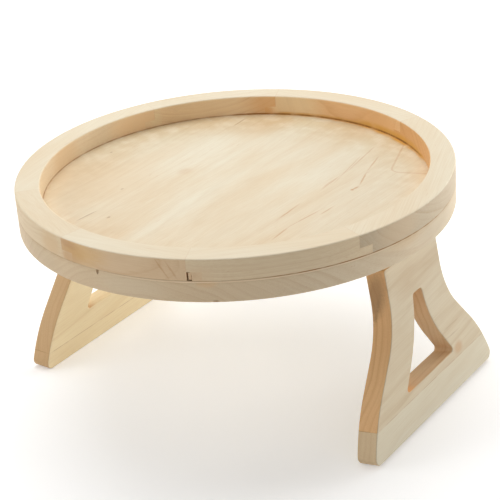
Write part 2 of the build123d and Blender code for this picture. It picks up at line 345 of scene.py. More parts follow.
# Sizes of the wood's figures in millimetres: across the fibres, along them and in depth
SWAY, CLOUD = (34, 150, 34), (38, 150, 38)
FIBRE, FLECK, FRAY = (0.6, 40, 0.6), (0.9, 12, 0.9), (1.6, 9, 1.6)
SWAY_REACH, BAND_WIDTH, BAND_LENGTH = 9.0, 2.3, 90.0
# How dark a ring is, from its early wood to the line that closes it, as (position, level)
RING = [(0.0, 0.12), (0.10, 0.0), (0.55, 0.10), (0.86, 0.75), (0.93, 1.0), (1.0, 0.12)]


def pine(name, tint, second, pith, turn=(0, 0, 0), spacing=4.2, strength=0.5, calm=1.0, marks=(),
         seed=0.0, grain=(0, 1, 0), face=(0, 0, 1), wall=None, patch=0.5, extra=None, on_walls=False):
    """Solid pine whose fibres run along Y of a frame given by the pith's place and its turn.

    The fibres run along grain, and face is square to the broad faces, on which calm is the share of
    the rings' strength that is left. Wall is the colour of the other faces, or what draws it, and
    extra draws on all of them. Spacing is a ring's width in millimetres, seed shifts every figure, and
    patch is how softly the two tints meet. Each mark is (place, half sizes, turn, strength, colour)
    in millimetres and degrees, its turn one number about Z or all three, and on_walls keeps them
    all off the broad faces.
    """
    look = bpy.context.scene.arm_tray.pine
    g = Finish(name)
    board = g.placed(g.here, Vector(pith) * MM, turn, (MM, MM, MM))
    side = g.fade(g.math("ABSOLUTE", g.dot(g.normal, face)), 0.35, 0.85, 1.0, 0.0)

    def figure(size, place, detail=2.0, roughness=0.5):
        """Noise drawn out along the fibres."""
        return g.noise(g.placed(board, place, size=size), detail, roughness)

    sway = g.math("MULTIPLY_ADD", figure(SWAY, (seed, 0, 0)), SWAY_REACH, -SWAY_REACH / 2)
    fibre = figure(FIBRE, (seed, seed, 0), 3.0, 0.6)
    fleck = figure(FLECK, (0, seed, seed), 1.0)
    cloud = figure(CLOUD, (seed * 3, 0, 0), 3.0, 0.55)
    fray = figure(FRAY, (seed, 1, 2))
    x, y, z = g.parts(board)
    radius = g.math("ADD", g.reach(g.joined(X=x, Z=z)), sway)
    rings = g.ramp(g.math("FRACT", g.math("DIVIDE", radius, spacing)), RING)
    uneven = g.noise(g.joined(X=g.math("DIVIDE", radius, spacing * 1.7), Y=seed), 1.0)
    late = g.math("MULTIPLY", rings, g.fade(uneven, 0.35, 0.68, 0.25, 1.0))
    drift = g.joined(X=g.math("DIVIDE", radius, BAND_WIDTH), Y=seed + 5.0,
                     Z=g.math("DIVIDE", y, BAND_LENGTH))
    bands = g.fade(g.noise(drift, 3.0, 0.6), 0.38, 0.72, 0.0, 0.40)

    spread = patch * 0.3
    wood = g.mix(g.fade(cloud, 0.5 - spread, 0.5 + spread), tint, second)
    if wall:
        wood = g.mix(side, wood, wall(g) if callable(wall) else wall)
    dark = g.math("ADD", g.math("MULTIPLY", late, 0.8), bands)
    dark = g.math("MULTIPLY", dark, g.fade(side, 0.0, 1.0, strength * calm, strength))
    wood = g.mix(dark, wood, look.late, "MULTIPLY")
    wood = g.mix(g.fade(fibre, 0.30, 0.75, 0.0, 0.25), wood, look.fibre, "MULTIPLY")
    wood = g.mix(g.fade(fleck, 0.70, 0.84, 0.0, 0.35), wood, look.resin)
    for place, half, about, weight, stain in marks:
        about = [radians(a) for a in (about if isinstance(about, tuple) else (0, 0, about))]
        rough = min(0.9, 2.0 / min(half))
        edge = g.math("ADD", g.reach(g.placed(g.here, Vector(place) * MM, about, Vector(half) * MM)),
                      g.math("MULTIPLY_ADD", fray, rough, -rough / 2))
        share = g.fade(edge, 0.25, 1.0, weight, 0.0)
        if on_walls:
            share = g.math("MULTIPLY", share, side)
        wood = g.mix(share, wood, getattr(look, stain))
    ends = g.math("ABSOLUTE", g.dot(g.normal, grain))
    wood = g.mix(g.fade(ends, 0.45, 0.95), wood, look.end, "MULTIPLY")
    if extra:
        wood = extra(g, wood)

    gloss = g.math("MULTIPLY_ADD", fibre, 0.18, 0.50)
    height = g.math("MULTIPLY_ADD", late, -0.35, fibre)
    bump = g.add("ShaderNodeBump", {"Strength": 0.22, "Distance": 0.0002, "Height": height})
    return g.done(g.add("ShaderNodeBsdfPrincipled", {
        "Base Color": wood, "Roughness": gloss, "Normal": bump.outputs[0], "Specular IOR Level": 0.32}))


def plated(name, tint, roughness, stretch=(0.4, 14, 0.4)):
    """Plated steel with a cloudy sheen and faint drawing marks, whose size is in millimetres."""
    g = Finish(name)
    here = g.placed(g.here, size=(MM, MM, MM))
    lines = g.noise(g.placed(here, size=stretch), 3.0, 0.6)
    cloud = g.noise(g.placed(here, size=(7, 7, 7)), 3.0)
    metal = g.mix(g.fade(cloud, 0.35, 0.7), [part * 0.72 for part in tint], tint)
    rough = g.math("MULTIPLY_ADD", lines, 0.22, roughness - 0.08)
    bump = g.add("ShaderNodeBump", {"Strength": 0.10, "Distance": 0.00005, "Height": lines})
    return g.done(g.add("ShaderNodeBsdfPrincipled", {
        "Base Color": metal, "Metallic": 1.0, "Roughness": rough, "Normal": bump.outputs[0]}))


# Modelling
def faces_in(geometry):
    """The faces of what an operator returns."""
    return [part for part in geometry if isinstance(part, bmesh.types.BMFace)]


def verts_in(geometry):
    """The vertices of what an operator returns."""
    return [part for part in geometry if isinstance(part, bmesh.types.BMVert)]


def with_edges(faces):
    """Faces with their edges and vertices, as spin and extrude want them."""
    edges = {edge for face in faces for edge in face.edges}
    verts = {vert for face in faces for vert in face.verts}
    return [*faces, *edges, *verts]


def everything(bm):
    """All faces, edges and vertices."""
    return bm.faces[:] + bm.edges[:] + bm.verts[:]


def on_level(edges, level):
    """The edges that lie at a height."""
    return [edge for edge in edges if all(abs(vert.co.z - level) < ALIKE for vert in edge.verts)]


def spin(bm, geometry, turn, steps, centre=(0, 0, 0), axis=(0, 0, 1), rise=(0, 0, 0), merge=False):
    """Spins geometry round an axis, and returns it where it stops."""
    return bmesh.ops.spin(bm, geom=geometry, cent=centre, axis=axis, dvec=rise, angle=turn, steps=steps,
                          use_merge=merge, use_duplicate=False)["geom_last"]


def spun(bm, faces, turn, steps, **options):
    """Spins faces into a solid, and returns them where they stop."""
    return faces_in(spin(bm, with_edges(faces), turn, steps, **options))


def pushed(bm, faces, way):
    """Extrudes faces along a vector, and returns them where they stop."""
    made = bmesh.ops.extrude_face_region(bm, geom=with_edges(faces))
    bmesh.ops.translate(bm, verts=verts_in(made["geom"]), vec=way)
    return faces_in(made["geom"])


def rounded(bm, edges, radius, segments):
    """Rounds edges with that many facets."""
    bmesh.ops.bevel(bm, geom=list(edges), offset=radius, offset_type="OFFSET", affect="EDGES",
                    segments=segments, profile=0.5, material=-1, clamp_overlap=False)


def closed(bm):
    """Merges doubles, fills what a spin left open, and turns the faces outwards."""
    bmesh.ops.remove_doubles(bm, verts=bm.verts, dist=SAME)
    bmesh.ops.holes_fill(bm, edges=[edge for edge in bm.edges if edge.is_boundary], sides=0)
    bmesh.ops.recalc_face_normals(bm, faces=bm.faces)


def upright(bm, inner, outer, low, high, turn=0.0):
    """A rectangle between two radii and two heights, turned round the tray's axis."""
    place = (Matrix.Rotation(turn, 4, "Z") @ Matrix.Translation(((inner + outer) / 2, 0, (low + high) / 2))
             @ Matrix.Rotation(radians(90), 4, "X") @ Matrix.Diagonal((outer - inner, high - low, 1, 1)))
    made = bmesh.ops.create_grid(bm, x_segments=1, y_segments=1, size=0.5, matrix=place)
    return list({face for vert in made["verts"] for face in vert.link_faces})


class Pen:
    """Draws an outline in the plane X = 0 with one vertex, by extrudes and spins."""

    def __init__(self, bm, y, z):
        self.bm = bm
        self.tip = bm.verts.new((0, y, z))

    def line(self, y, z):
        """Draws a straight stretch to a point."""
        self.tip = bmesh.ops.extrude_vert_indiv(self.bm, verts=[self.tip])["verts"][0]
        self.tip.co = (0, y, z)

    def arc(self, centre, turn, steps):
        """Draws a round stretch about a centre."""
        self.tip = verts_in(spin(self.bm, [self.tip], turn, steps, (0, *centre), (1, 0, 0)))[0]


def mesh_of(name, bm):
    """A mesh that takes over a bmesh."""
    mesh = bpy.data.meshes.new(name)
    bm.to_mesh(mesh)
    bm.free()
    return mesh


def put(name, data):
    """A new object in the scene."""
    made = bpy.data.objects.new(name, data)
    bpy.context.scene.collection.objects.link(made)
    return made


def cut(piece, tool):
    """Takes the tool's closed solids out of a piece that has no modifiers."""
    mesh = mesh_of("Cutter", tool)
    cutter = put("Cutter", mesh)
    modifier = piece.modifiers.new("Cut", "BOOLEAN")
    modifier.object = cutter
    modifier.solver = "EXACT"
    modifier.use_self = True
    bpy.context.view_layer.update()
    graph = bpy.context.evaluated_depsgraph_get()
    result = bpy.data.meshes.new_from_object(piece.evaluated_get(graph), depsgraph=graph)
    old = piece.data
    piece.modifiers.remove(modifier)
    piece.data = result
    result.name = old.name
    bpy.data.meshes.remove(old)
    bpy.data.objects.remove(cutter)
    bpy.data.meshes.remove(mesh)


def new_piece(name, bm, material, body, nodes, sharp=35, tool=None):
    """Makes a piece, smooth but for its sharp edges and cut by a tool, in place of its CAD nodes."""
    if any(len(edge.link_faces) != 2 for edge in bm.edges):
        raise RuntimeError(f"{name} isn't closed")
    mesh = mesh_of(name, bm)
    mesh.materials.append(material)
    mesh.shade_smooth()
    mesh.set_sharp_from_angle(angle=radians(sharp))
    piece = put(name, mesh)
    if tool:
        cut(piece, tool)
    weighted = piece.modifiers.new("Even shading", "WEIGHTED_NORMAL")
    weighted.keep_sharp = True
    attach(piece, body)
    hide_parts(*nodes)


# Tray

# Marks on the floor and on the outer wall of the board
BOARD_MARKS = [
    ((68.3, 71, 141), (0.9, 18, 9), 13, 0.55, "resin"),
    ((76, 43, 141), (0.9, 15, 9), 18, 0.60, "resin"),
    ((79.5, 27, 141), (1.1, 5, 9), -6, 0.75, "resin"),
    ((79, 23.5, 141), (1.7, 1.9, 9), 0, 0.80, "resin"),
    ((59.8, -27, 141), (0.9, 20, 9), 1, 0.65, "resin"),
    ((75, -28, 141), (0.8, 22, 9), -8, 0.55, "resin"),
    ((73.2, -57, 141), (0.8, 13, 9), 2, 0.60, "resin"),
    ((58.5, 26, 141), (0.7, 9, 9), 2, 0.35, "resin"),
    ((-64, 96.6, 141), (0.9, 13, 9), 3.5, 0.60, "knot_and_shade"),
    ((-58.6, -90, 141), (0.8, 12, 9), -5, 0.50, "knot_and_shade"),
    ((-65.4, -43.4, 141), (1.2, 1.9, 9), 0, 0.50, "knot_and_shade"),
    ((-43.5, -85.2, 141), (1.3, 2.1, 9), 0, 0.50, "knot_and_shade"),
    ((-116, 7, 141), (1.1, 1.7, 9), 0, 0.45, "knot_and_shade"),
    ((-44.4, 1, 141), (7, 9, 9), 0, 0.22, "resin"),
    # Painted shade: a dark mark in the pit in the board's edge
    ((0, -149.3, 139.8), (1.4, 2.6, 2.6), 0, 0.60, "knot_and_shade"),
    ((70, -132, 139.5), (9, 8, 4), 27, 0.35, "amber"),
    ((74.5, -130, 127.5), (2.4, 3, 1.3), 30, 0.75, "knot_and_shade"),
    ((147, -28, 138), (8, 24, 5), -11, 0.30, "tan"),
    # Painted shade: these two ash marks darken the board's wall at the far right, where less light falls
    ((149, 16, 136), (10, 46, 18), 6, 0.62, "ash"),
    ((134, 66, 136), (10, 36, 18), 26, 0.62, "ash"),
    ((-60, -137, 134), (36, 9, 14), -24, 0.40, "ash"),
    ((24, -148, 134), (36, 9, 14), 9, 0.22, "cream"),
    # These two wide tan marks darken the floor towards the left and the back; at the back this is partly
    # painted shade of the back wall
    ((-85, -40, 141), (60, 60, 30), 0, 0.25, "tan"),
    ((-60, 93, 141), (60, 34, 30), 20, 0.25, "tan"),
    ((56.8, 73, 141), (0.8, 34, 9), 6.8, 0.42, "resin"),
    ((57.7, 54.4, 141), (0.7, 33, 9), 9.5, 0.40, "resin"),
    ((59.4, 29.1, 141), (0.7, 18, 9), 2, 0.50, "resin"),
    ((81.4, -12.8, 141), (0.8, 10, 9), -4, 0.55, "resin"),
    ((-35.3, -50.9, 141), (0.8, 9, 9), -3, 0.35, "cream"),
]

# Outline of a patch in the floor: a square with round corners, in millimetres and degrees
PATCH_PLACE, PATCH_TURN, PATCH_HALF, PATCH_CORNER = (106, 99, 0), 18, 30, 7.0
# The pit in the board's edge: half sizes, depth under the seam and tilt in degrees
NICK_HALF, NICK_DEPTH, NICK_TILT = (0.00156, 0.00108, 0.00204), 0.0012, -8
# Share of a stain's reach at its full strength, the reach of the open seam, how far under it the
# board's painted highlight lies, a pale line that stands in for light on its rounded edge, and the
# size of the patches in which glue is uneven
FULL_SHARE, SEAM_REACH, HIGHLIGHT_DEPTH, UNEVEN = 0.35, 0.0005, 0.0008, 0.011
# The glue inside: reach, direction where it is heaviest, start and end as shares of the recess's
# radius that way, least and most, and colour
INNER_GLUE = (
    (0.0060, 65, 0.94, 0.985, 0.0, 1.0, "varnish"), (0.0030, 77, 0.80, 0.86, 0.0, 0.80, "varnish"),
    (0.0013, 86, 0.74, 0.84, 0.08, 0.95, "glue"), (0.0009, 170, 0.25, 0.75, 0.0, 0.55, "glue"))


def flat_radius(g):
    """Distance from the tray's axis, and height."""
    x, y, z = g.parts(g.here)
    return g.reach(g.joined(X=x, Y=y)), z


def glue_line(g, wood, radius, level, reach, amount, stain="glue"):
    """A stain that keeps to a circle of that radius at that level."""
    out, height = flat_radius(g)
    off = g.reach(g.joined(X=g.math("SUBTRACT", out, radius), Y=g.math("SUBTRACT", height, level)))
    near = g.fade(off, reach * FULL_SHARE, reach, 1.0, 0.0)
    return g.mix(g.math("MULTIPLY", near, amount), wood, getattr(bpy.context.scene.arm_tray.pine, stain))


def heavier(g, toward, low, high, least, most):
    """More towards one side of the tray, in degrees from +X, and a little uneven."""
    along = g.dot(g.here, (cos(radians(toward)), sin(radians(toward)), 0))
    rough = g.noise(g.placed(g.here, size=(UNEVEN, UNEVEN, UNEVEN)))
    return g.math("MULTIPLY", g.fade(along, low, high, least, most), g.fade(rough, 0.3, 0.6, 0.45, 1.0))


def inner_glue(g, wood, tray):
    """The glue where the rim stands on the floor."""
    inner = tray.board.radius - tray.rim.width
    for reach, toward, low, high, least, most, stain in INNER_GLUE:
        amount = heavier(g, toward, inner * low, inner * high, least, most)
        wood = glue_line(g, wood, inner, BOARD_TOP, reach, amount, stain)
    return wood


def outer_glue(g, wood, tray):
    """The open seam at the outside, darkest at the right."""
    outer = tray.board.radius
    amount = heavier(g, -19, outer * 0.80, outer * 0.97, 0.25, 0.95)
    return glue_line(g, wood, outer, BOARD_TOP, SEAM_REACH, amount)


class ARMTRAY_OT_base_board(bpy.types.Operator):
    """Turn the round board under the recess."""
    bl_idname = "arm_tray.base_board"
    bl_label = "Base board"

    def stains(self, g, wood, tray):
        """The outline of a patch, the older tone and painted shade of the floor, the painted highlight under
        the seam and the glue.
        """
        look, outer = tray.pine, tray.board.radius
        straight = PATCH_HALF - PATCH_CORNER
        near = g.placed(g.here, Vector(PATCH_PLACE) * MM, (0, 0, radians(PATCH_TURN)), (MM, MM, MM))
        near = g.vector("ABSOLUTE", g.vector("MULTIPLY", near, (1, 1, 0)))
        near = g.vector("MAXIMUM", g.vector("SUBTRACT", near, (straight, straight, 0)), (0, 0, 0))
        off = g.math("ABSOLUTE", g.math("SUBTRACT", g.reach(near), PATCH_CORNER))
        out, height = flat_radius(g)
        top = g.fade(height, BOARD_TOP - 0.003, BOARD_TOP - 0.001)
        wood = g.mix(g.math("MULTIPLY", g.fade(off, 0.2, 1.1, 0.32, 0.0), top), wood, look.resin)
        # Partly painted shade: the floor darkens towards its edge and most towards the back, for the back
        # wall's shade as well as an older tone
        edge_tone_and_shade = g.math("MULTIPLY", heavier(g, 110, -0.03, 0.11, 0.35, 1.0), g.fade(out, 0.070, 0.128))
        wood = g.mix(g.math("MULTIPLY", edge_tone_and_shade, top), wood, look.aged_and_shaded, "MULTIPLY")
        wood = inner_glue(g, wood, tray)
        # Painted highlight: a pale peach line just under the seam, strongest at the front right, stands in for
        # light on the rounded edge
        painted_highlight = heavier(g, -50, outer * 0.72, outer * 0.94, 0.0, 0.7)
        wood = glue_line(g, wood, outer, BOARD_TOP - HIGHLIGHT_DEPTH, SEAM_REACH, painted_highlight, "highlight_peach")
        return outer_glue(g, wood, tray)

    def nick(self, sizes):
        """A pit in the edge that meets the rim."""
        bm = bmesh.new()
        place = (Matrix.Rotation(radians(-90), 4, "Z")
                 @ Matrix.Translation((sizes.radius, 0, BOARD_TOP - NICK_DEPTH))
                 @ Matrix.Rotation(radians(NICK_TILT), 4, "X") @ Matrix.Diagonal((*NICK_HALF, 1)))
        bmesh.ops.create_icosphere(bm, subdivisions=2, radius=1.0, matrix=place)
        bmesh.ops.recalc_face_normals(bm, faces=bm.faces)
        return bm

    def execute(self, context):
        tray = context.scene.arm_tray
        sizes = tray.board
        bm = bmesh.new()
        middle = Matrix.Translation((0, 0, (BOARD_TOP + BOARD_BOTTOM) / 2))
        bmesh.ops.create_cone(bm, cap_ends=True, segments=sizes.segments, radius1=sizes.radius,
                              radius2=sizes.radius, depth=BOARD_TOP - BOARD_BOTTOM, matrix=middle)
        rounded(bm, on_level(bm.edges, BOARD_BOTTOM), sizes.lower_edge, segments=3)
        rounded(bm, on_level(bm.edges, BOARD_TOP), sizes.seam_edge, segments=2)
        closed(bm)
        wood = pine("Base board pine", tray.pine.cream, tray.pine.straw, (30, 0, 60),
                    (radians(2), 0, radians(-2)), spacing=5.0, strength=0.35, calm=0.45, marks=BOARD_MARKS,
                    seed=3.0, wall=tray.pine.oat, patch=0.9,
                    extra=lambda g, wood: self.stains(g, wood, tray))
        new_piece("Base_board", bm, wood, "tray", ["base_board"], tool=self.nick(sizes))
        return {"FINISHED"}


# Place of the pith, climb of the fibres, strength of the rings, seed, and the colours of the two walls
SEGMENT_LOOKS = [
    ((0, 0, 30), 3, 0.28, 1.0, "sand", "amber"),
    ((18, 0, 10), 0, 0.32, 2.0, "buff", "amber"),
    ((0, 0, 90), 0, 0.35, 3.0, "sand", "amber"),
    # This fourth row's ash outer wall is partly painted shade: darker where less light falls at the far right
    ((40, 0, 60), 0, 0.35, 4.0, "ash", "russet"),
    ((70, 0, 20), 0, 0.40, 5.0, "sand", "amber"),
    # This sixth row's glow inner wall is painted light on a wall that lies in shade
    ((24, 0, 42), -9, 0.75, 6.0, "buff", "glow"),
    ((0, 0, 50), 0, 0.20, 7.0, "sand", "sand"),
]

# Marks on the walls of the segments
RIM_MARKS = {
    0: (((-42, -144, 148), (16, 9, 12), -16, 0.75, "tan"),
        ((-24, -148, 144), (10, 7, 8), 0, 0.90, "tan"),
        ((-24, -148, 144), (9, 7, 7), 0, 0.40, "resin")),
    1: (((45, -143, 149), (10, 4, 0.8), (0, 58, 18), 0.55, "resin"),
        ((51, -141, 148), (10, 4, 1.0), (0, 60, 20), 0.45, "resin"),
        ((-20, -148.5, 148), (28, 9, 16), 0, 0.95, "tan"),
        ((-22, -148, 147), (17, 8, 12), 0, 0.50, "resin"),
        ((-10, -149, 150), (26, 8, 10), 0, 0.30, "varnish"),
        ((-24, -148, 153), (12, 5, 4), (0, 10, -10), 0.60, "resin")),
    2: (((67, -134, 145), (12, 9, 8), 27, 0.45, "buff"),),
    3: (((146, -33, 149), (10, 27, 16), -13, 0.45, "buff"),),
    4: (((42, 126, 148), (30, 12, 16), -18, 0.75, "russet"),
        ((-36, 128, 149), (34, 12, 20), 15, 0.60, "honey"),
        ((-55, 120.5, 143.5), (9, 9, 6.5), 25, 1.0, "russet")),
    5: (((-48, 124, 148), (36, 12, 20), 22, 0.80, "russet"),
        # Painted light: the glow marks here and on the next segment brighten shaded inner walls near their
        # joint
        ((-88, 99, 148), (40, 12, 20), 41, 0.60, "glow"),
        ((-117, 63, 147), (7, 7, 12), 60, 0.45, "honey")),
    6: (((-122, 52, 149), (40, 12, 20), 66, 0.70, "glow"),
        ((-122, 52, 149), (40, 12, 20), 66, 0.45, "amber"),
        ((-130, -28, 148), (26, 12, 20), -78, 0.60, "tan")),
}
# The segment whose finger is chipped, and how far the chip's cutter stands out of the wall
CHIPPED, CUT_PROUD = 1, 0.001
# The turn of one facet of the rim, and the facets of a finger
FACET, FINGER_FACETS = radians(1.6), 3
# How far the colours of the two walls blend over the middle of the rim, and the distances over which
# a joint's line fades on its top
WALL_BLEND, TOP_LINE = 0.002, (0.0001, 0.00045)


class ARMTRAY_OT_rim(bpy.types.Operator):
    """Glue up the rim from its segments, each with a finger that enters the next one."""
    bl_idname = "arm_tray.rim"
    bl_label = "Rim segments"

    def walls(self, g, tray, outer, inner):
        """The colours of the two walls."""
        middle = tray.board.radius - tray.rim.width / 2
        inward = g.fade(flat_radius(g)[0], middle - WALL_BLEND, middle + WALL_BLEND, 1.0, 0.0)
        return g.mix(inward, getattr(tray.pine, outer), getattr(tray.pine, inner))

    def glued(self, g, wood, tray, ends):
        """The glue inside and outside, and faint lines across the top where the segment ends."""
        step = BOARD_TOP + tray.rim.finger_height
        upper = g.fade(flat_radius(g)[1], step, step + 0.0004, 0.0, 0.15)
        for end in ends:
            off = g.math("ABSOLUTE", g.dot(g.here, (-sin(end), cos(end), 0)))
            line = g.math("MULTIPLY", g.fade(off, *TOP_LINE, 1.0, 0.0), upper)
            wood = g.mix(line, wood, tray.pine.resin)
        return outer_glue(g, inner_glue(g, wood, tray), tray)

    def segment(self, board, rim, span):
        """The mesh of a segment that starts at the angle zero."""
        inner = board.radius - rim.width
        top = BOARD_TOP + rim.height
        step = BOARD_TOP + rim.finger_height
        finger = rim.finger_length / (board.radius - rim.width / 2)
        bm = bmesh.new()
        cap = spun(bm, upright(bm, inner, board.radius, step, top), finger, FINGER_FACETS)
        made = bmesh.ops.extrude_edge_only(bm, edges=on_level(cap[0].edges, step))["geom"]
        bmesh.ops.translate(bm, verts=verts_in(made), vec=(0, 0, -rim.finger_height))
        body = span - finger
        cap = spun(bm, cap + faces_in(made), body, max(FINGER_FACETS, round(body / FACET)))
        low = [face for face in cap if face.calc_center_median().z < step]
        spun(bm, low, finger, FINGER_FACETS)
        closed(bm)

        def along(level, radius):
            """The edges round the tray at that height and radius."""
            return [edge for edge in on_level(bm.edges, level)
                    if all(abs(vert.co.xy.length - radius) < ALIKE for vert in edge.verts)]

        rounded(bm, along(top, inner) + along(top, board.radius), rim.edge, segments=4)
        rounded(bm, along(BOARD_TOP, board.radius), rim.seam_edge, segments=1)
        return bm

    def chip(self, board, rim, start):
        """What is missing from the chipped finger: a slot at its root, one under it and a dent."""
        bm = bmesh.new()
        far, tall, deep = rim.chip_length, rim.finger_height, rim.slot_depth
        # Each cut's start and end along the rim, its lowest and highest point, and its depth
        for first, last, low, high, depth in (
                (0.0, rim.slot_width, 0.0, tall, deep),
                (0.0, far, 0.0, rim.chip_sill, deep),
                (0.0, far * 0.6, tall - rim.chip_sill, tall, deep),
                (far * 0.9, far, 0.0, tall * 0.65, rim.chip_depth * 2),
                (0.0, far, 0.0, tall, rim.chip_depth)):
            section = upright(bm, board.radius - depth, board.radius + CUT_PROUD,
                              BOARD_TOP + low, BOARD_TOP + high, start + first / board.radius)
            spun(bm, section, (last - first) / board.radius, 2)
        bmesh.ops.recalc_face_normals(bm, faces=bm.faces)
        return bm

    def execute(self, context):
        tray = context.scene.arm_tray
        board, rim = tray.board, tray.rim
        count = len(rim.joints)
        for index in range(count):
            start = rim.joints[index]
            span = (rim.joints[(index + 1) % count] - start) % (2 * pi)
            bm = self.segment(board, rim, span)
            bmesh.ops.rotate(bm, verts=bm.verts, cent=(0, 0, 0), matrix=Matrix.Rotation(start, 3, "Z"))
            pith, climb, strength, seed, outer, inner = SEGMENT_LOOKS[index]
            chord = start + span / 2
            middle = Vector((board.radius * cos(chord), board.radius * sin(chord), BOARD_TOP)) / MM
            core = middle + Matrix.Rotation(chord, 3, "Z") @ Vector(pith)
            wood = pine(f"Rim pine {index + 1}", tray.pine.cream, tray.pine.straw, core,
                        (radians(climb), 0, chord), spacing=3.6, strength=strength, calm=0.30, seed=seed,
                        grain=(-sin(chord), cos(chord), 0), marks=RIM_MARKS.get(index, ()), patch=1.4,
                        on_walls=True, wall=lambda g: self.walls(g, tray, outer, inner),
                        extra=lambda g, wood: self.glued(g, wood, tray, (start, start + span)))
            tool = self.chip(board, rim, start + span) if index == CHIPPED else None
            new_piece(f"Rim_segment_{index + 1}", bm, wood, "tray", [f"rim_segment_{index + 1}"],
                      tool=tool)
        return {"FINISHED"}


# Each board's colour, pith from the pin, strength of the rings, seed, browned front edge, walls
# behind it, and marks
LEG_LOOKS = {
    "right_leg_board": ("grey", (-110, 20, -45), 0.45, 11.0, "amber", "buff", (
        # Painted shade: the first two marks darken the top of the front edge, in the tray's shadow
        ((128, -33, 98), (11, 8, 27), (0, 9, 0), 0.70, "knot_and_shade"),
        ((129, -31, 84), (2.2, 8, 26), (0, 9, 0), 0.45, "knot_and_shade"),
        ((149, 39, 31), (16, 8, 6), 0, 0.55, "resin"),
        ((146, 33, 43), (6, 14, 0.8), 0, 0.35, "knot_and_shade"),
        ((145, 36, 50), (6, 16, 0.7), 0, 0.30, "knot_and_shade"))),
    "right_foot_stave": ("stone", (140, 0, -100), 0.25, 12.0, "sand", "sand", ()),
    "left_leg_board": ("honey", (-90, -20, -70), 0.35, 13.0, "tan", "honey", (
        ((-130, -22, 32), (16, 10, 10), 0, 0.80, "honey"),)),
    "left_foot_stave": ("honey", (120, 0, -110), 0.30, 14.0, "tan", "tan", ()),
}
# Y between which a leg's browned front edge gives way to its other walls, and the distances over
# which the glue line of its stave fades
FRONT_EDGE, STAVE_LINE = (-0.026, -0.018), (0.00005, 0.0004)
# Edges that turn by more than this are rounded, in radians
EDGE_TURN = 1.0


def sides(leg):
    """Each side's name, way along X and splay, and the place of its pin, still and with the splay."""
    for side, way, splay in (("right", 1, leg.right_splay), ("left", -1, leg.left_splay)):
        pin = Matrix.Diagonal((way, 1, 1, 1)) @ Matrix.Translation(PIN)
        yield side, way, splay, pin, pin @ Matrix.Rotation(-splay, 4, "Y")


